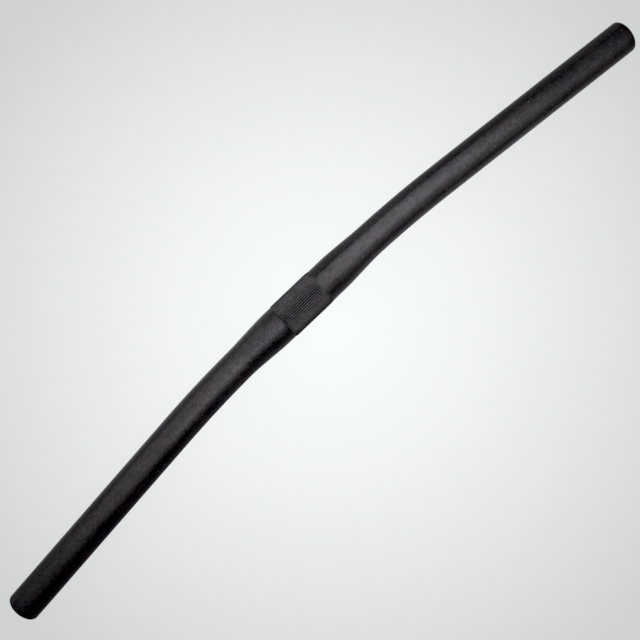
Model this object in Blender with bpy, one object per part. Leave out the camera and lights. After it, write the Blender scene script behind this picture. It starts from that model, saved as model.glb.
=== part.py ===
"""Flat bicycle handlebar: one swaged and bent light-alloy tube.

The tube is thickest in the middle, where a stem clamps it, and carries a band
of straight knurling there.  It tapers to the grip diameter on both sides, and
each arm is bent back by a few degrees.  Both ends are cut square to the arm,
have a rounded outer edge and are open.

Bar frame: X runs along the bar, +Y is the forward, convex side of the bend,
+Z is square to the plane of the bend, and the origin is on the centreline in
the middle of the bar.  The object is then laid down as it rests on a table:
the thick middle and the undersides of both ends touch it.

Units are metres.
"""

import math

import bmesh
import bpy

MM = 0.001

# ---------------------------------------------------------------- dimensions
# along the centreline
HALF_LENGTH = 275.6 * MM        # middle of the bar to either end
SWEEP_DEG = 5.4                 # backsweep of each arm
BEND_START = 30.5 * MM          # each arm is curved between these two stations
BEND_END = 128.5 * MM
BEND_EASE = 0.20                # share of the bend over which it sets in and dies out

# outside
GRIP_R = 11.1 * MM              # 22.2 mm arms, for grips and levers
CLAMP_R = 12.7 * MM             # 25.4 mm middle, for the stem
TAPER_START = 25.5 * MM         # the middle is swaged down between these stations
TAPER_END = 60.0 * MM
TAPER_EASE = 0.26

# inside: the wall grows a little where the tube is swaged down
CLAMP_WALL = 2.2 * MM
GRIP_WALL = 2.3 * MM

# straight knurling in the clamping zone
KNURL_LEFT = -19.0 * MM         # full depth from here ...
KNURL_RIGHT = 13.2 * MM         # ... to here
KNURL_RUNIN = 0.45 * MM         # crisp at one end
KNURL_RUNOUT = 1.7 * MM         # runs out slowly at the other
TEETH = 52
CREST_R = 13.1 * MM
ROOT_R = 12.56 * MM
CREST_SHARE = 0.42              # share of the pitch that is flat crest

# open ends
EDGE_R = 1.1 * MM               # rounding of the outer edge
EDGE_STEPS = 3
BORE_CHAMFER = 0.4 * MM

# spacing of the rings of points
TAPER_STEPS = 10
BEND_STEPS = 8
ARM_STEPS = 3
BORE_TAPER_STEPS = 5
BORE_BEND_STEPS = 6
BORE_ARM_STEPS = 2


# ------------------------------------------------------------------ geometry
def eased(u, ease):
    """0 to 1 as u goes from 0 to 1, at an even rate with soft ends."""
    u = min(max(u, 0.0), 1.0)
    h = 1.0 / (1.0 - ease)
    if u < ease:
        return 0.5 * h * u * u / ease
    if u > 1.0 - ease:
        return 1.0 - 0.5 * h * (1.0 - u) ** 2 / ease
    return 0.5 * h * ease + h * (u - ease)


def heading(s):
    """Angle by which the centreline is turned back at station s >= 0."""
    u = (s - BEND_START) / (BEND_END - BEND_START)
    return math.radians(SWEEP_DEG) * eased(u, BEND_EASE)


def centre_half(s, steps=400):
    """Point of the centreline at station s >= 0, by summing its heading."""
    x = y = 0.0
    ds = s / steps
    for i in range(steps):
        a = heading((i + 0.5) * ds)
        x += math.cos(a) * ds
        y -= math.sin(a) * ds
    return x, y


def centre(s):
    """Centre point and unit tangent (towards +X) at any station."""
    side = 1.0 if s >= 0.0 else -1.0
    x, y = centre_half(abs(s)) if s else (0.0, 0.0)
    a = heading(abs(s))
    return (side * x, y), (math.cos(a), -side * math.sin(a))


def taper(s):
    """0 in the thick middle, 1 on the grip diameter."""
    return eased((abs(s) - TAPER_START) / (TAPER_END - TAPER_START), TAPER_EASE)


def outer_radius(s):
    return CLAMP_R - (CLAMP_R - GRIP_R) * taper(s)


def bore_radius(s):
    wall = CLAMP_WALL + (GRIP_WALL - CLAMP_WALL) * taper(s)
    return outer_radius(s) - wall


def spread(a, b, steps):
    """Stations after a, up to and including b."""
    return [a + (b - a) * (i + 1) / steps for i in range(steps)]


def outer_stations():
    """(station, radius) from the middle's edge to the face of the end."""
    s = [TAPER_START] + spread(TAPER_START, TAPER_END, TAPER_STEPS)
    s += spread(TAPER_END, BEND_END, BEND_STEPS)
    s += spread(BEND_END, HALF_LENGTH - EDGE_R, ARM_STEPS)
    rings = [(v, outer_radius(v)) for v in s]
    for i in range(1, EDGE_STEPS + 1):
        a = 0.5 * math.pi * i / EDGE_STEPS
        rings.append((HALF_LENGTH - EDGE_R * (1.0 - math.sin(a)),
                      GRIP_R - EDGE_R * (1.0 - math.cos(a))))
    return rings


def bore_stations():
    """(station, radius) of the bore, from the middle out to its mouth."""
    s = [TAPER_START] + spread(TAPER_START, TAPER_END, BORE_TAPER_STEPS)
    s += spread(TAPER_END, BEND_END, BORE_BEND_STEPS)
    s += spread(BEND_END, HALF_LENGTH - BORE_CHAMFER, BORE_ARM_STEPS)
    rings = [(v, bore_radius(v)) for v in s]
    rings.append((HALF_LENGTH, bore_radius(HALF_LENGTH) + BORE_CHAMFER))
    return rings


def ring(bm, s, points):
    """Points (angle, radius) around the centreline at station s.

    Angle 0 is the forward side and a quarter turn is the upper side.
    """
    (cx, cy), (tx, ty) = centre(s)
    verts = []
    for angle, r in points:
        out, up = r * math.cos(angle), r * math.sin(angle)
        verts.append(bm.verts.new((cx - ty * out, cy + tx * out, up)))
    return verts


def round_points(r, phase):
    return [(phase + 2.0 * math.pi * i / TEETH, r) for i in range(TEETH)]


def knurl_points(phase):
    """Crest, crest, root for each tooth; crests are centred on the angles
    that the plain rings use."""
    pitch = 2.0 * math.pi / TEETH
    half = 0.5 * CREST_SHARE * pitch
    points = []
    for i in range(TEETH):
        a = phase + pitch * i
        points += [(a - half, CREST_R), (a + half, CREST_R), (a + 0.5 * pitch, ROOT_R)]
    return points


def skin(bm, first, second):
    """Faces between two rings of equal count; first lies towards -X."""
    n = len(first)
    for i in range(n):
        j = (i + 1) % n
        bm.faces.new((first[i], second[i], second[j], first[j]))


def knurl_end(bm, plain, knurled, knurl_is_right):
    """Faces between a plain ring and the knurled one, three points a tooth."""
    for i in range(TEETH):
        j = (i + 1) % TEETH
        a, b = plain[i], plain[j]
        left, right, root, nxt = knurled[3 * i], knurled[3 * i + 1], knurled[3 * i + 2], knurled[3 * j]
        for tri in ((a, left, right), (a, right, root), (a, root, b), (b, root, nxt)):
            bm.faces.new(tri if knurl_is_right else tri[::-1])


def build_bar(phase):
    """The whole tube as one closed mesh in the bar frame."""
    bm = bmesh.new()

    # outside, from the left end to the right end
    arm = outer_stations()
    left = [ring(bm, -s, round_points(r, phase)) for s, r in reversed(arm)]
    right = [ring(bm, s, round_points(r, phase)) for s, r in arm]
    near_left = ring(bm, KNURL_LEFT - KNURL_RUNIN, round_points(CLAMP_R, phase))
    knurl_left = ring(bm, KNURL_LEFT, knurl_points(phase))
    knurl_right = ring(bm, KNURL_RIGHT, knurl_points(phase))
    near_right = ring(bm, KNURL_RIGHT + KNURL_RUNOUT, round_points(CLAMP_R, phase))
    for chain in (left + [near_left], [near_right] + right):
        for a, b in zip(chain, chain[1:]):
            skin(bm, a, b)
    knurl_end(bm, near_left, knurl_left, True)
    skin(bm, knurl_left, knurl_right)
    knurl_end(bm, near_right, knurl_right, False)

    # bore
    hole = bore_stations()
    bore = [ring(bm, -s, round_points(r, phase)) for s, r in reversed(hole)]
    bore += [ring(bm, s, round_points(r, phase)) for s, r in hole]
    for a, b in zip(bore, bore[1:]):
        skin(bm, b, a)

    # the two flat end faces
    skin(bm, bore[0], left[0])
    skin(bm, right[-1], bore[-1])

    bm.normal_update()
    bmesh.ops.recalc_face_normals(bm, faces=bm.faces[:])
    bmesh.ops.triangulate(bm, faces=bm.faces[:], quad_method='SHORT_EDGE')
    return bm


def lowest(points, tilt):
    return min(y * math.sin(tilt) + z * math.cos(tilt) for _, y, z in points)


def resting_tilt(points):
    """Turn about X at which the middle and the ends touch the same table."""
    middle = [p for p in points if abs(p[0]) < 0.1]
    ends = [p for p in points if abs(p[0]) > 0.2]
    low, high = 0.0, math.radians(30.0)
    for _ in range(60):
        mid = 0.5 * (low + high)
        if lowest(ends, mid) > lowest(middle, mid):
            low = mid
        else:
            high = mid
    return 0.5 * (low + high)


def nominal_tilt():
    """The same turn for true circles, used to put a crest straight down."""
    _, y = centre_half(HALF_LENGTH - EDGE_R)
    return math.asin((CREST_R - GRIP_R) / abs(y))


# -------------------------------------------------------------------- object
for old in list(bpy.data.objects):
    bpy.data.objects.remove(old, do_unlink=True)

# a crest points straight down at rest: the bar is turned by the nominal tilt
PHASE = -0.5 * math.pi - nominal_tilt()

bm = build_bar(PHASE)
mesh = bpy.data.meshes.new("handlebar_tube")
bm.to_mesh(mesh)
bm.free()

material = bpy.data.materials.new("satin_black_alloy")
material.use_nodes = True
principled = material.node_tree.nodes["Principled BSDF"]
principled.inputs["Base Color"].default_value = (0.022, 0.021, 0.023, 1.0)
principled.inputs["Metallic"].default_value = 0.35
principled.inputs["Roughness"].default_value = 0.46
material.diffuse_color = (0.022, 0.021, 0.023, 1.0)
mesh.materials.append(material)
mesh.shade_smooth()
mesh.set_sharp_from_angle(angle=math.radians(28.0))

bar = bpy.data.objects.new("handlebar_tube", mesh)
bpy.context.scene.collection.objects.link(bar)

# lay it down: middle and both ends on the table, box centred over the origin
points = [tuple(v.co) for v in mesh.vertices]
tilt = resting_tilt(points)
ys = [y * math.cos(tilt) - z * math.sin(tilt) for _, y, z in points]
bar.rotation_euler = (tilt, 0.0, 0.0)
bar.location = (0.0, -0.5 * (min(ys) + max(ys)), -lowest(points, tilt))
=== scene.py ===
"""Looks of the flat bicycle handlebar: a finely meshed tube in satin black, on a
pale table under large soft lights, seen from straight above.

The tube is the same one that the frame carries, with the same stations and
radii, and finer in its knurling, ends and bore.  Lengths are metres.
"""

import math

import bpy
import numpy as np
from mathutils import Matrix, Vector


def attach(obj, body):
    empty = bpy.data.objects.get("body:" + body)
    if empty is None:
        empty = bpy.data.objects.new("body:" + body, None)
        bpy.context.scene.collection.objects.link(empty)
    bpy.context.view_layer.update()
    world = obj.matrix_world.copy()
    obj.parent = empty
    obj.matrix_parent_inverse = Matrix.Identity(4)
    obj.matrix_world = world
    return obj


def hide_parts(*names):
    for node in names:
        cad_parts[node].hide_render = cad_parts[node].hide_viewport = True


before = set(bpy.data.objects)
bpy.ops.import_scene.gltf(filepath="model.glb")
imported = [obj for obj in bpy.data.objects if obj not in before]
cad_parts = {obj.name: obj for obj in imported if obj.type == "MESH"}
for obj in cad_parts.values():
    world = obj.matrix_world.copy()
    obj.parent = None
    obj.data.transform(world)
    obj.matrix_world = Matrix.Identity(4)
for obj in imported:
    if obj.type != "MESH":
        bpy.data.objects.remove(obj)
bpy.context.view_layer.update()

MM = 0.001

# ------------------------------------------------------------ bar dimensions
HALF_LENGTH = 275.6 * MM
SWEEP = math.radians(5.4)
BEND_START, BEND_END, BEND_EASE = 30.5 * MM, 128.5 * MM, 0.20
GRIP_R, CLAMP_R = 11.1 * MM, 12.7 * MM
TAPER_START, TAPER_END, TAPER_EASE = 25.5 * MM, 60.0 * MM, 0.26
CLAMP_WALL, GRIP_WALL = 2.2 * MM, 2.3 * MM
KNURL_LEFT, KNURL_RIGHT = -19.0 * MM, 13.2 * MM
KNURL_RUNIN, KNURL_RUNOUT = 0.45 * MM, 1.7 * MM
TEETH = 52
CREST_R, ROOT_R = 13.1 * MM, 12.56 * MM
CREST_SHARE = 0.42
EDGE_R, BORE_CHAMFER = 1.1 * MM, 0.4 * MM

# how the bar lies at rest: turned about X, then lifted onto the table
REST_TILT = math.radians(6.244649)
REST_PLACE = Vector((0.0, 8.100254 * MM, 13.095848 * MM))


def eased(u, ease):
    """0 to 1 as u goes from 0 to 1, at an even rate with soft ends."""
    u = np.clip(u, 0.0, 1.0)
    h = 1.0 / (1.0 - ease)
    return np.where(u < ease, 0.5 * h * u * u / ease,
                    np.where(u > 1.0 - ease, 1.0 - 0.5 * h * (1.0 - u) ** 2 / ease,
                             0.5 * h * ease + h * (u - ease)))


def heading(s):
    return SWEEP * eased((s - BEND_START) / (BEND_END - BEND_START), BEND_EASE)


# the centreline of one arm, summed once on a fine grid
GRID = np.linspace(0.0, HALF_LENGTH, 5601)
_mid = heading(0.5 * (GRID[1:] + GRID[:-1]))
_step = GRID[1] - GRID[0]
GRID_X = np.concatenate([[0.0], np.cumsum(np.cos(_mid)) * _step])
GRID_Y = np.concatenate([[0.0], -np.cumsum(np.sin(_mid)) * _step])


def centre(s):
    """Centre point and unit tangent at a station."""
    side = 1.0 if s >= 0.0 else -1.0
    a = float(heading(abs(s)))
    x, y = np.interp(abs(s), GRID, GRID_X), np.interp(abs(s), GRID, GRID_Y)
    return (side * x, y), (math.cos(a), -side * math.sin(a))


def taper(s):
    return float(eased((abs(s) - TAPER_START) / (TAPER_END - TAPER_START), TAPER_EASE))


def outer_radius(s):
    return CLAMP_R - (CLAMP_R - GRIP_R) * taper(s)


def bore_radius(s):
    return outer_radius(s) - (CLAMP_WALL + (GRIP_WALL - CLAMP_WALL) * taper(s))


def spread(a, b, step):
    n = max(1, int(round(abs(b - a) / step)))
    return [a + (b - a) * (i + 1) / n for i in range(n)]


# ------------------------------------------------------------- the tube mesh
PHASE = -0.5 * math.pi - math.asin((CREST_R - GRIP_R) / 18.5e-3)
PITCH = 2.0 * math.pi / TEETH
PLAIN = 4        # points a tooth on the plain rings
TOOTH = 8        # points a tooth on the knurled rings
FLUTE_R = ROOT_R - 0.02 * MM    # the bottom of each groove
RNG = np.random.default_rng(41)

# one tooth: position within the pitch, and height from root (0) to crest (1)
_h = 0.20
TOOTH_SHAPE = [(-_h, 0.86), (-0.55 * _h, 0.975), (0.0, 1.0), (0.55 * _h, 0.975),
               (_h, 0.86), (0.42, 0.12), (0.5, 0.0), (0.58, 0.12)]
CREST_WOBBLE = RNG.normal(0.0, 1.0, TEETH)
ROOT_WOBBLE = RNG.normal(0.0, 1.0, TEETH)


class Tube:
    """Rings of points swept along the centreline, with their faces."""

    def __init__(self):
        self.verts, self.faces, self.mats = [], [], []
        self.groove, self.knurl = [], []
        self.along, self.around = [], []

    def ring(self, s, angles, radii, groove=None, knurl=0.0):
        (cx, cy), (tx, ty) = centre(s)
        angles, radii = np.asarray(angles, float), np.broadcast_to(radii, len(angles)).astype(float)
        out, up = radii * np.cos(angles), radii * np.sin(angles)
        start = len(self.verts)
        for i in range(len(angles)):
            self.verts.append((cx - ty * out[i], cy + tx * out[i], up[i]))
        self.groove.extend([0.0] * len(angles) if groove is None else list(groove))
        self.knurl.extend([knurl] * len(angles))
        self.along.extend([s] * len(angles))
        self.around.extend(list(angles))
        return list(range(start, start + len(angles)))

    def quad(self, *loop, mat=0):
        self.faces.append(loop)
        self.mats.append(mat)

    def skin(self, first, second, mat=0):
        """Faces between two rings of equal count; first lies towards -X."""
        n = len(first)
        for i in range(n):
            j = (i + 1) % n
            self.quad(first[i], second[i], second[j], first[j], mat=mat)

    def fan(self, plain, knurled, knurl_is_right):
        """Faces between a plain ring and a knurled one, tooth by tooth."""
        n = TEETH
        for i in range(n):
            a = plain[PLAIN * i:PLAIN * (i + 1)] + [plain[(PLAIN * (i + 1)) % (PLAIN * n)]]
            b = knurled[TOOTH * i:TOOTH * (i + 1)] + [knurled[(TOOTH * (i + 1)) % (TOOTH * n)]]
            # both lists run over one pitch; two knurled steps for each plain one
            for k in range(PLAIN):
                tris = ((a[k], b[2 * k], b[2 * k + 1]), (a[k], b[2 * k + 1], a[k + 1]),
                        (a[k + 1], b[2 * k + 1], b[2 * k + 2]))
                for t in tris:
                    self.quad(*(t if knurl_is_right else t[::-1]))


def plain_angles(count=PLAIN):
    """Points a tooth, starting at the first point of each tooth's crest."""
    n = TEETH * count
    return PHASE - _h * PITCH + 2.0 * math.pi * np.arange(n) / n


def knurl_ring(tube, s, depth):
    """A knurled ring. depth is 1 at full depth and 0 where it dies out."""
    angles, radii, groove = [], [], []
    for i in range(TEETH):
        drift = 0.012 * math.sin(1.7 * i + 190.0 * s)
        for u, h in TOOTH_SHAPE:
            full = FLUTE_R + (CREST_R - FLUTE_R) * h
            full -= 0.016 * MM * abs(CREST_WOBBLE[i]) * h
            full += 0.020 * MM * ROOT_WOBBLE[i] * (1.0 - h)
            angles.append(PHASE + PITCH * (i + u) + PITCH * drift * 0.5)
            radii.append(CLAMP_R + (full - CLAMP_R) * depth)
            groove.append((1.0 - h) * depth)
    return tube.ring(s, angles, np.minimum(radii, CREST_R - 0.004 * MM), groove, float(depth))


def build_tube():
    tube = Tube()
    arm = [TAPER_START]
    arm += spread(TAPER_START, TAPER_END, 1.5 * MM)
    arm += spread(TAPER_END, BEND_END, 2.6 * MM)
    arm += spread(BEND_END, HALF_LENGTH - EDGE_R, 6.0 * MM)
    rings = [(s, outer_radius(s)) for s in arm]
    for i in range(1, 9):
        a = 0.5 * math.pi * i / 8
        rings.append((HALF_LENGTH - EDGE_R * (1.0 - math.sin(a)), GRIP_R - EDGE_R * (1.0 - math.cos(a))))

    angles = plain_angles()
    left = [tube.ring(-s, angles, r) for s, r in reversed(rings)]
    right = [tube.ring(s, angles, r) for s, r in rings]

    # knurled band: crisp at its left end, running out at its right end
    near_left = tube.ring(KNURL_LEFT - KNURL_RUNIN, angles, CLAMP_R)
    band = [knurl_ring(tube, KNURL_LEFT - KNURL_RUNIN * (1.0 - k), eased(k, 0.4)) for k in (0.35, 0.7)]
    band += [knurl_ring(tube, KNURL_LEFT, 1.0)]
    fade_from, fade = KNURL_RIGHT - 1.8 * MM, KNURL_RUNOUT + 2.9 * MM
    band += [knurl_ring(tube, s, 1.0) for s in spread(KNURL_LEFT, fade_from, 1.6 * MM)]
    band += [knurl_ring(tube, fade_from + fade * k, 1.0 - eased(k, 0.35)) for k in np.arange(1, 10) / 10.0]
    near_right = tube.ring(fade_from + fade, angles, CLAMP_R)
    for a, b in zip(band, band[1:]):
        tube.skin(a, b)
    tube.fan(near_left, band[0], True)
    tube.fan(near_right, band[-1], False)

    extra_left = [tube.ring(s, angles, CLAMP_R) for s in (-23.5 * MM, -21.5 * MM)]
    extra_right = [tube.ring(s, angles, CLAMP_R) for s in (18.0 * MM, 21.5 * MM)]
    chain = left + extra_left + [near_left]
    for a, b in zip(chain, chain[1:]):
        tube.skin(a, b)
    chain = [near_right] + extra_right + right
    for a, b in zip(chain, chain[1:]):
        tube.skin(a, b)

    # bore, from one mouth to the other
    hole = [TAPER_START] + spread(TAPER_START, TAPER_END, 4.0 * MM)
    hole += spread(TAPER_END, BEND_END, 6.0 * MM) + spread(BEND_END, HALF_LENGTH - BORE_CHAMFER, 12.0 * MM)
    mouth = [(s, bore_radius(s)) for s in hole]
    for i in range(1, 4):
        a = 0.5 * math.pi * i / 3
        mouth.append((HALF_LENGTH - BORE_CHAMFER * (1.0 - (1.0 - math.cos(a))),
                      bore_radius(HALF_LENGTH) + BORE_CHAMFER * (1.0 - math.cos(a)) * 0.55
                      + BORE_CHAMFER * 0.45 * math.sin(a)))
    mouth[-1] = (HALF_LENGTH, bore_radius(HALF_LENGTH) + BORE_CHAMFER)
    bore = [tube.ring(-s, angles, r) for s, r in reversed(mouth)]
    bore += [tube.ring(s, angles, r) for s, r in mouth]
    for a, b in zip(bore, bore[1:]):
        tube.skin(b, a, mat=1)

    # flat end faces, in three steps so that their turning marks shade evenly
    for sign, outer, inner in ((-1, left[0], bore[0]), (1, right[-1], bore[-1])):
        r_out, r_in = GRIP_R - EDGE_R, bore_radius(HALF_LENGTH) + BORE_CHAMFER
        steps = [tube.ring(sign * HALF_LENGTH, angles, r_in + (r_out - r_in) * k / 3) for k in (1, 2)]
        chain = [inner] + steps + [outer]
        for a, b in zip(chain, chain[1:]):
            if sign < 0:
                tube.skin(a, b, mat=2)
            else:
                tube.skin(b, a, mat=2)
    return tube


def mesh_object(name, tube, materials):
    mesh = bpy.data.meshes.new(name)
    place = Matrix.Translation(REST_PLACE) @ Matrix.Rotation(REST_TILT, 4, 'X')
    verts = np.asarray(tube.verts)
    m = np.array(place)
    verts = verts @ m[:3, :3].T + m[:3, 3]
    mesh.from_pydata([tuple(v) for v in verts], [], [f[::-1] for f in tube.faces])
    for material in materials:
        mesh.materials.append(material)
    mesh.polygons.foreach_set("material_index", tube.mats)
    # lengthwise and round-the-tube coordinates, in millimetres
    uv = mesh.uv_layers.new(name="tube")
    along, around = np.asarray(tube.along), np.asarray(tube.around)
    loops = np.zeros(len(mesh.loops), np.int32)
    mesh.loops.foreach_get("vertex_index", loops)
    u = along[loops] / MM
    turn = (around[loops] - PHASE) / (2.0 * math.pi)
    v = turn - np.floor(turn)
    starts = np.array([p.loop_start for p in mesh.polygons])
    totals = np.array([p.loop_total for p in mesh.polygons])
    for a, n in zip(starts, totals):
        part = v[a:a + n]
        if part.max() - part.min() > 0.5:
            v[a:a + n] = np.where(part < 0.5, part + 1.0, part)
    uv.data.foreach_set("uv", np.stack([u, v * 72.0], 1).ravel().astype(np.float32))
    for label, values in (("groove", tube.groove), ("knurl", tube.knurl)):
        layer = mesh.attributes.new(label, "FLOAT", "POINT")
        layer.data.foreach_set("value", np.asarray(values, np.float32))
    mesh.validate()
    mesh.update()
    mesh.shade_smooth()
    mesh.set_sharp_from_angle(angle=math.radians(34.0))
    ob = bpy.data.objects.new(name, mesh)
    bpy.context.scene.collection.objects.link(ob)
    return ob


# ---------------------------------------------------------------- materials
ROUGH_MEAN = 0.302
PEBBLE_UM, GRAIN_UM = 66.0, 17.0
SHINE_SPECKLE, SHINE_MOTTLE, SHINE_PATCH, TINT_DRIFT = 1.25, 0.75, 0.6, 0.34
MIDDLE_IN, MIDDLE_OUT, MIDDLE_DULL = 22.0, 40.0, 0.20    # millimetres from the middle
SPECK_CELLS, SPECK_SHARE, SPECK_SMALL, SPECK_LARGE = 0.17, 0.16, 0.15, 0.33    # cells a millimetre, share, radii


def new_material(name):
    material = bpy.data.materials.new(name)
    material.use_nodes = True
    nodes, links = material.node_tree.nodes, material.node_tree.links
    shader = nodes["Principled BSDF"]
    return material, nodes, links, shader


def noise(nodes, links, vector, scale, detail=2.0, rough=0.5):
    n = nodes.new("ShaderNodeTexNoise")
    n.inputs["Scale"].default_value = scale
    n.inputs["Detail"].default_value = detail
    n.inputs["Roughness"].default_value = rough
    links.new(vector, n.inputs["Vector"])
    return n.outputs["Fac"]


def ramp(nodes, links, fac, stops):
    r = nodes.new("ShaderNodeValToRGB")
    while len(r.color_ramp.elements) < len(stops):
        r.color_ramp.elements.new(0.5)
    for e, (pos, col) in zip(r.color_ramp.elements, stops):
        e.position = pos
        e.color = col if isinstance(col, tuple) else (col, col, col, 1.0)
    links.new(fac, r.inputs["Fac"])
    return r.outputs["Color"]


def math_node(nodes, links, op, a, b):
    n = nodes.new("ShaderNodeMath")
    n.operation = op
    for i, x in enumerate((a, b)):
        if isinstance(x, (int, float)):
            n.inputs[i].default_value = x
        else:
            links.new(x, n.inputs[i])
    return n.outputs[0]


def bump(nodes, links, height, strength, distance, normal=None):
    b = nodes.new("ShaderNodeBump")
    b.inputs["Strength"].default_value = strength
    b.inputs["Distance"].default_value = distance
    links.new(height, b.inputs["Height"])
    if normal is not None:
        links.new(normal, b.inputs["Normal"])
    return b.outputs["Normal"]


def satin_black():
    """Blasted and black-anodised alloy: a fine uneven grain, soft clouding of the sheen, a few light specks that are
    partly dust and partly painted glints, a duller middle where the tube was never swaged, and rougher grooves in the
    knurling."""
    material, nodes, links, shader = new_material("satin_black_alloy")
    coords = nodes.new("ShaderNodeTexCoord").outputs["Object"]

    def mul(a, b):
        return math_node(nodes, links, 'MULTIPLY', a, b)

    def add(a, b):
        return math_node(nodes, links, 'ADD', a, b)

    def attribute(label):
        node = nodes.new("ShaderNodeAttribute")
        node.attribute_name = label
        return node.outputs["Fac"]

    cloud = noise(nodes, links, coords, 34.0, 3.0, 0.55)
    patch = noise(nodes, links, coords, 170.0, 3.0, 0.6)
    mottle = noise(nodes, links, coords, 400.0, 2.0, 0.6)
    pebble = noise(nodes, links, coords, 620.0, 3.0, 0.62)
    speckle = noise(nodes, links, coords, 1050.0, 2.0, 0.65)
    grain = noise(nodes, links, coords, 2600.0, 2.0, 0.6)
    groove, knurl = attribute("groove"), attribute("knurl")

    # lengthwise and round-the-tube place, in millimetres
    uv = nodes.new("ShaderNodeUVMap")
    uv.uv_map = "tube"
    place = nodes.new("ShaderNodeSeparateXYZ")
    links.new(uv.outputs["UV"], place.inputs[0])
    middle = nodes.new("ShaderNodeMapRange")
    middle.interpolation_type = 'SMOOTHSTEP'
    middle.inputs["From Min"].default_value = MIDDLE_IN
    middle.inputs["From Max"].default_value = MIDDLE_OUT
    middle.inputs["To Min"].default_value = 1.0
    middle.inputs["To Max"].default_value = 0.0
    links.new(math_node(nodes, links, 'ABSOLUTE', place.outputs["X"], 0.0), middle.inputs["Value"])
    middle = middle.outputs["Result"]

    # a few light specks, each about half a millimetre: dust, and painted glints in the base colour
    cells = nodes.new("ShaderNodeTexVoronoi")
    cells.voronoi_dimensions = '2D'
    cells.inputs["Scale"].default_value = SPECK_CELLS
    links.new(uv.outputs["UV"], cells.inputs["Vector"])
    pick = nodes.new("ShaderNodeSeparateColor")
    links.new(cells.outputs["Color"], pick.inputs[0])
    reach = add(SPECK_SMALL * SPECK_CELLS, mul(pick.outputs[1], (SPECK_LARGE - SPECK_SMALL) * SPECK_CELLS))
    inside = math_node(nodes, links, 'LESS_THAN', cells.outputs["Distance"], reach)
    speck = mul(inside, math_node(nodes, links, 'LESS_THAN', pick.outputs[0], SPECK_SHARE))
    bright = add(0.35, mul(pick.outputs[2], 0.65))

    mixed = add(mul(cloud, 0.30), add(mul(mottle, 0.25), mul(speckle, 0.45)))
    colour = ramp(nodes, links, mixed, [(0.34, (0.0038, 0.0036, 0.0039, 1.0)), (0.66, (0.0106, 0.0101, 0.0106, 1.0))])
    # light specks in the base colour, partly dust and partly painted glints
    speck_dust_and_glint = nodes.new("ShaderNodeMix")
    speck_dust_and_glint.data_type = 'RGBA'
    speck_dust_and_glint.inputs[7].default_value = (0.12, 0.12, 0.126, 1.0)
    links.new(mul(speck, bright), speck_dust_and_glint.inputs[0])
    links.new(colour, speck_dust_and_glint.inputs[6])
    links.new(speck_dust_and_glint.outputs[2], shader.inputs["Base Color"])

    # how strongly each spot mirrors, around 1
    shine = add(1.0 - 0.5 * (SHINE_SPECKLE + SHINE_MOTTLE + SHINE_PATCH),
                add(mul(speckle, SHINE_SPECKLE), add(mul(mottle, SHINE_MOTTLE), mul(patch, SHINE_PATCH))))
    dull = mul(middle, mul(math_node(nodes, links, 'SUBTRACT', 1.0, mul(knurl, 0.5)), MIDDLE_DULL))
    shine = mul(shine, math_node(nodes, links, 'SUBTRACT', 1.0, dull))
    # the film's tint drifts by a few percent from place to place
    drift = nodes.new("ShaderNodeTexNoise")
    drift.inputs["Scale"].default_value = 85.0
    drift.inputs["Detail"].default_value = 3.0
    links.new(coords, drift.inputs["Vector"])
    drift_parts = nodes.new("ShaderNodeSeparateColor")
    links.new(drift.outputs["Color"], drift_parts.inputs[0])
    tint = nodes.new("ShaderNodeCombineColor")
    for k in range(3):
        links.new(mul(shine, add(1.0 - 0.5 * TINT_DRIFT, mul(drift_parts.outputs[k], TINT_DRIFT))), tint.inputs[k])
    links.new(tint.outputs[0], shader.inputs["Specular Tint"])

    rough = add(ROUGH_MEAN - 0.5 * (0.08 + 0.10 + 0.12), add(mul(cloud, 0.08), add(mul(patch, 0.10), mul(pebble, 0.12))))
    rough = add(rough, mul(groove, 0.15))
    rough = add(rough, mul(speck, 0.3))
    links.new(rough, shader.inputs["Roughness"])

    uneven = mul(pebble, add(1.0, mul(knurl, 1.6)))
    n1 = bump(nodes, links, uneven, 1.0, PEBBLE_UM * 1e-6)
    n2 = bump(nodes, links, grain, 1.0, GRAIN_UM * 1e-6, n1)
    links.new(n2, shader.inputs["Normal"])
    shader.inputs["Metallic"].default_value = 0.0
    shader.inputs["IOR"].default_value = 1.36
    return material


def bore_black():
    """Inside of the tube: the same dark film on a rougher drawn wall."""
    material, nodes, links, shader = new_material("bore_black")
    uv = nodes.new("ShaderNodeUVMap")
    uv.uv_map = "tube"
    stretch = nodes.new("ShaderNodeMapping")
    stretch.inputs["Scale"].default_value = (0.012, 1.0, 1.0)
    links.new(uv.outputs["UV"], stretch.inputs["Vector"])
    draw = noise(nodes, links, stretch.outputs["Vector"], 1.6, 5.0, 0.7)
    coords = nodes.new("ShaderNodeTexCoord").outputs["Object"]
    grain = noise(nodes, links, coords, 1500.0, 3.0, 0.6)
    colour = ramp(nodes, links, draw, [(0.35, (0.055, 0.054, 0.055, 1.0)), (0.68, (0.105, 0.103, 0.103, 1.0))])
    links.new(colour, shader.inputs["Base Color"])
    rough = math_node(nodes, links, 'ADD', 0.44, math_node(nodes, links, 'MULTIPLY', grain, 0.16))
    links.new(rough, shader.inputs["Roughness"])
    n1 = bump(nodes, links, draw, 0.35, 0.00006)
    n2 = bump(nodes, links, grain, 0.2, 0.00003, n1)
    links.new(n2, shader.inputs["Normal"])
    shader.inputs["IOR"].default_value = 1.42
    return material


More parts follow.
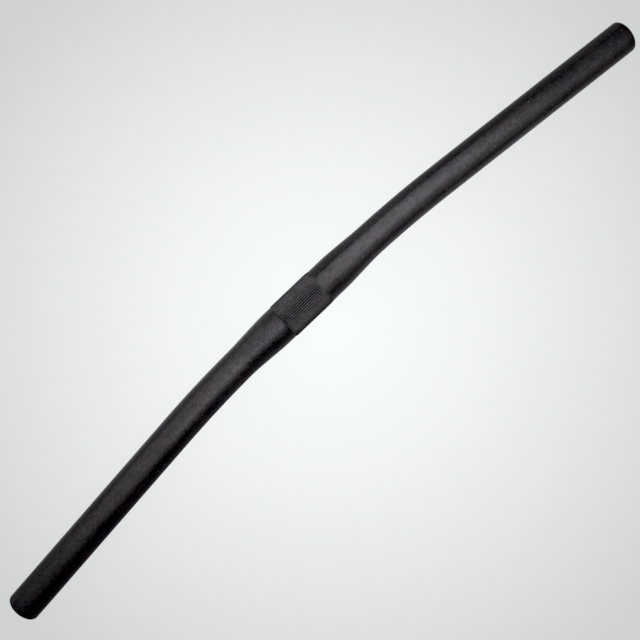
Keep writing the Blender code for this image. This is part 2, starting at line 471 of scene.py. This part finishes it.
def cut_face():
    """Square-cut ends: fine turning rings under the black film."""
    material, nodes, links, shader = new_material("cut_face_black")
    coords = nodes.new("ShaderNodeTexCoord").outputs["Object"]
    grain = noise(nodes, links, coords, 2600.0, 2.0, 0.6)
    # distance from the arm's axis, the same on both ends by symmetry
    (ex, ey), (tx, ty) = centre(HALF_LENGTH)
    end = Matrix.Rotation(REST_TILT, 4, 'X') @ Vector((ex, ey, 0.0)) + REST_PLACE
    away = nodes.new("ShaderNodeVectorMath")
    away.operation = 'SUBTRACT'
    mirror = nodes.new("ShaderNodeVectorMath")
    mirror.operation = 'ABSOLUTE'
    split = nodes.new("ShaderNodeSeparateXYZ")
    join = nodes.new("ShaderNodeCombineXYZ")
    links.new(coords, split.inputs[0])
    links.new(coords, mirror.inputs[0])
    only_x = nodes.new("ShaderNodeSeparateXYZ")
    links.new(mirror.outputs[0], only_x.inputs[0])
    links.new(only_x.outputs["X"], join.inputs["X"])
    links.new(split.outputs["Y"], join.inputs["Y"])
    links.new(split.outputs["Z"], join.inputs["Z"])
    links.new(join.outputs[0], away.inputs[0])
    away.inputs[1].default_value = end
    length = nodes.new("ShaderNodeVectorMath")
    length.operation = 'LENGTH'
    links.new(away.outputs[0], length.inputs[0])
    rings = math_node(nodes, links, 'SINE', math_node(nodes, links, 'MULTIPLY', length.outputs["Value"], 2.0 * math.pi / (0.16 * MM)), 0.0)
    mix = math_node(nodes, links, 'ADD', math_node(nodes, links, 'MULTIPLY', rings, 0.35), grain)
    colour = ramp(nodes, links, mix, [(0.1, (0.016, 0.0155, 0.0162, 1.0)), (0.9, (0.034, 0.033, 0.0342, 1.0))])
    links.new(colour, shader.inputs["Base Color"])
    rough = math_node(nodes, links, 'ADD', 0.30, math_node(nodes, links, 'MULTIPLY', grain, 0.14))
    links.new(rough, shader.inputs["Roughness"])
    links.new(bump(nodes, links, mix, 0.25, 0.00002), shader.inputs["Normal"])
    shader.inputs["IOR"].default_value = 1.45
    return material


# ------------------------------------------------------------------ the part
tube = build_tube()
bar = mesh_object("handlebar_tube_detail", tube, [satin_black(), bore_black(), cut_face()])
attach(bar, "root")
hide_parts("handlebar_tube")


# ------------------------------------------------------------------ the stage
def table():
    """A wide pale table that glows with its own painted light. A painted pool of light makes it brightest under the
    middle of the bar and falling off outwards, and most of its light is its own glow, so that the bar's shadow on it
    stays faint, as in the photograph."""
    size, n = 8.0, 40
    mesh = bpy.data.meshes.new("table_top")
    xs = [size * (2.0 * i / n - 1.0) for i in range(n + 1)]
    verts = [(x, y, 0.0) for y in xs for x in xs]
    faces = [(j * (n + 1) + i, j * (n + 1) + i + 1, (j + 1) * (n + 1) + i + 1, (j + 1) * (n + 1) + i)
             for j in range(n) for i in range(n)]
    mesh.from_pydata(verts, [], faces)
    ob = bpy.data.objects.new("table_top", mesh)
    ob.location = (0.0, 0.0, -0.0002)
    bpy.context.scene.collection.objects.link(ob)

    material, nodes, links, shader = new_material("pale_table")
    nodes.remove(shader)
    out = nodes["Material Output"]
    coords = nodes.new("ShaderNodeTexCoord").outputs["Object"]
    shift = nodes.new("ShaderNodeVectorMath")
    shift.operation = 'SUBTRACT'
    shift.inputs[1].default_value = FLOOR_CENTRE
    links.new(coords, shift.inputs[0])
    away = nodes.new("ShaderNodeVectorMath")
    away.operation = 'LENGTH'
    links.new(shift.outputs[0], away.inputs[0])
    # painted pool of light: the glow's colour is brightest near the middle of the bar and falls off outwards
    falloff = ramp(nodes, links, math_node(nodes, links, 'MULTIPLY', away.outputs["Value"], 1.0 / FLOOR_REACH), FLOOR_STOPS)
    paper = noise(nodes, links, coords, 900.0, 3.0, 0.6)
    fibre = math_node(nodes, links, 'ADD', 0.992, math_node(nodes, links, 'MULTIPLY', paper, 0.016))
    tone = nodes.new("ShaderNodeVectorMath")
    tone.operation = 'SCALE'
    links.new(falloff, tone.inputs[0])
    links.new(fibre, tone.inputs["Scale"])

    # painted contact shadow: the table's glow is darkened only right under the bar, where it nearly touches
    close = nodes.new("ShaderNodeAmbientOcclusion")
    close.samples = 6
    close.inputs["Distance"].default_value = CONTACT_REACH
    under = nodes.new("ShaderNodeMapRange")
    under.inputs["To Min"].default_value = CONTACT_DARK
    links.new(close.outputs["AO"], under.inputs["Value"])
    glow = nodes.new("ShaderNodeEmission")
    links.new(math_node(nodes, links, 'MULTIPLY', under.outputs["Result"], FLOOR_GLOW), glow.inputs["Strength"])
    links.new(tone.outputs[0], glow.inputs["Color"])
    matte = nodes.new("ShaderNodeBsdfDiffuse")
    links.new(tone.outputs[0], matte.inputs["Color"])
    thin = nodes.new("ShaderNodeMixShader")
    thin.inputs["Fac"].default_value = FLOOR_MATTE
    dark = nodes.new("ShaderNodeBsdfDiffuse")
    dark.inputs["Color"].default_value = (0.0, 0.0, 0.0, 1.0)
    links.new(dark.outputs[0], thin.inputs[1])
    links.new(matte.outputs[0], thin.inputs[2])
    seen = nodes.new("ShaderNodeAddShader")
    links.new(glow.outputs[0], seen.inputs[0])
    links.new(thin.outputs[0], seen.inputs[1])
    bounce = nodes.new("ShaderNodeBsdfDiffuse")
    # painted shade in the bar's reflections: seen from the bar, the table is darker than seen from the camera,
    # painted darkest behind the left arm as a painted shadow and lighter in front of the bar, so it differs in front
    # of the bar and behind it
    split = nodes.new("ShaderNodeSeparateXYZ")
    links.new(coords, split.inputs[0])
    far = math_node(nodes, links, 'ABSOLUTE', split.outputs["X"], 0.0)
    line = math_node(nodes, links, 'SUBTRACT', -0.0113 + 0.0945 * 0.275, math_node(nodes, links, 'MULTIPLY', far, 0.0945))
    line = math_node(nodes, links, 'MINIMUM', line, 0.0081)
    ahead = nodes.new("ShaderNodeMapRange")
    ahead.interpolation_type = 'SMOOTHSTEP'
    ahead.inputs["From Min"].default_value = -0.008
    ahead.inputs["From Max"].default_value = 0.008
    links.new(math_node(nodes, links, 'SUBTRACT', split.outputs["Y"], line), ahead.inputs["Value"])
    place = math_node(nodes, links, 'ADD', 0.5, math_node(nodes, links, 'MULTIPLY', split.outputs["X"], 1.0 / 0.72))
    sides = nodes.new("ShaderNodeMix")
    sides.data_type = 'RGBA'
    links.new(ahead.outputs["Result"], sides.inputs[0])
    links.new(ramp(nodes, links, place, BOUNCE_BEHIND), sides.inputs[6])
    links.new(ramp(nodes, links, place, BOUNCE_AHEAD), sides.inputs[7])
    links.new(sides.outputs[2], bounce.inputs["Color"])
    path = nodes.new("ShaderNodeLightPath")
    pick = nodes.new("ShaderNodeMixShader")
    links.new(path.outputs["Is Camera Ray"], pick.inputs["Fac"])
    links.new(bounce.outputs[0], pick.inputs[1])
    links.new(seen.outputs[0], pick.inputs[2])
    links.new(pick.outputs[0], out.inputs["Surface"])
    mesh.materials.append(material)
    return ob


FLOOR_CENTRE = (0.0, -9.0 * MM, 0.0)
FLOOR_REACH = 0.60
# painted pool of light on the table, from its bright middle outwards
FLOOR_STOPS = [(0.0, (0.958, 0.993, 0.985, 1.0)), (0.17, (0.885, 0.912, 0.905, 1.0)),
               (0.34, (0.755, 0.778, 0.772, 1.0)), (0.48, (0.640, 0.660, 0.655, 1.0)),
               (0.75, (0.575, 0.590, 0.588, 1.0)), (1.0, (0.555, 0.570, 0.568, 1.0))]
# strength of the table's painted glow, and the small share of it lit by the lamps
FLOOR_GLOW = 0.957
FLOOR_MATTE = 0.02
# painted contact shadow under the bar: how far it reaches and how dark it gets
CONTACT_REACH, CONTACT_DARK = 5.0 * MM, 0.25
# painted shade of the table as the bar reflects it, in front of the bar and behind it; along the bar, from 0.36 m
# left of its middle to 0.36 m right of it
BOUNCE_AHEAD = [(0.08, 0.18), (0.25, 0.35), (0.42, 0.51), (0.58, 0.39), (0.75, 0.30), (0.92, 0.19)]
BOUNCE_BEHIND = [(0.08, 0.10), (0.25, 0.14), (0.42, 0.23), (0.58, 0.42), (0.75, 0.41), (0.92, 0.17)]
table()


def panel(name, place, turn_deg, width, length, radiance, colour=(1.0, 1.0, 1.0)):
    """A flat soft light. Unturned it hangs level over the table, facing down."""
    light = bpy.data.lights.new(name, 'AREA')
    light.shape = 'RECTANGLE'
    light.size, light.size_y = width, length
    light.energy = radiance * width * length * math.pi
    light.color = colour
    ob = bpy.data.objects.new(name, light)
    ob.location = place
    ob.rotation_euler = [math.radians(a) for a in turn_deg]
    ob.visible_camera = False
    bpy.context.scene.collection.objects.link(ob)
    return ob


# a long panel overhead, across the bar and dimmer at its front end, a shorter
# one beside it towards the right arm, and low light along the table
panel("panel_long", (-0.373, 1.132, 1.2), (0.0, 0.0, 18.0), 1.41, 5.6, 2.20, (1.025, 0.970, 1.010))
panel("panel_long_front", (0.925, -2.863, 1.2), (0.0, 0.0, 18.0), 1.41, 2.8, 1.41, (1.025, 0.970, 1.010))
panel("panel_short", (0.321, 0.632, 1.1), (0.0, 0.0, -13.0), 0.834, 2.539, 3.12, (0.975, 0.968, 1.050))
panel("panel_ahead", (0.0, 4.0, 0.60), (-90.0, 0.0, 0.0), 2.2, 1.2, 1.44)
panel("panel_ahead_left", (-2.0, 3.46, 0.60), (-90.0, 0.0, 30.0), 2.2, 1.2, 0.60)
panel("panel_ahead_right", (2.0, 3.46, 0.60), (-90.0, 0.0, -30.0), 2.2, 1.2, 0.55)
panel("panel_behind", (0.6, -4.0, 0.60), (90.0, 0.0, 0.0), 6.0, 1.2, 0.30)

world = bpy.data.worlds.new("studio")
bpy.context.scene.world = world
world.use_nodes = True
wn, wl = world.node_tree.nodes, world.node_tree.links
back = wn["Background"]
back.inputs["Color"].default_value = (0.555, 0.570, 0.568, 1.0)
path = wn.new("ShaderNodeLightPath")
level = wn.new("ShaderNodeMapRange")
level.inputs["To Min"].default_value = 0.06
level.inputs["To Max"].default_value = FLOOR_GLOW * 1.01
wl.new(path.outputs["Is Camera Ray"], level.inputs["Value"])
wl.new(level.outputs["Result"], back.inputs["Strength"])

# ----------------------------------------------------------------- the camera
def turn(ax, ay, az):
    return Matrix.Rotation(az, 3, 'Z') @ Matrix.Rotation(ay, 3, 'Y') @ Matrix.Rotation(ax, 3, 'X')


camera_data = bpy.data.cameras.new("camera")
camera_data.sensor_width = 36.0
camera_data.lens = 720.03 / 640.0 * 36.0
camera_data.clip_start = 0.01
camera_data.clip_end = 50.0
camera_data.shift_x, camera_data.shift_y = -0.5 / 640.0, 0.5 / 640.0
camera = bpy.data.objects.new("camera", camera_data)
to_world = turn(math.radians(-0.4997), math.radians(0.157), math.radians(43.5677)).transposed()
camera.matrix_world = Matrix.Translation(Vector((-2.534 * MM, -20.46 * MM + 8.1003 * MM, 475.86 * MM + 13.0958 * MM))) @ to_world.to_4x4()
bpy.context.scene.collection.objects.link(camera)
bpy.context.scene.camera = camera

BLACK = 0.0165
view = bpy.context.scene.view_settings
view.view_transform = 'Standard'
view.look = 'None'
view.exposure = 0.0
view.gamma = 1.0
view.use_curve_mapping = True
view.curve_mapping.black_level = (BLACK, BLACK, BLACK)
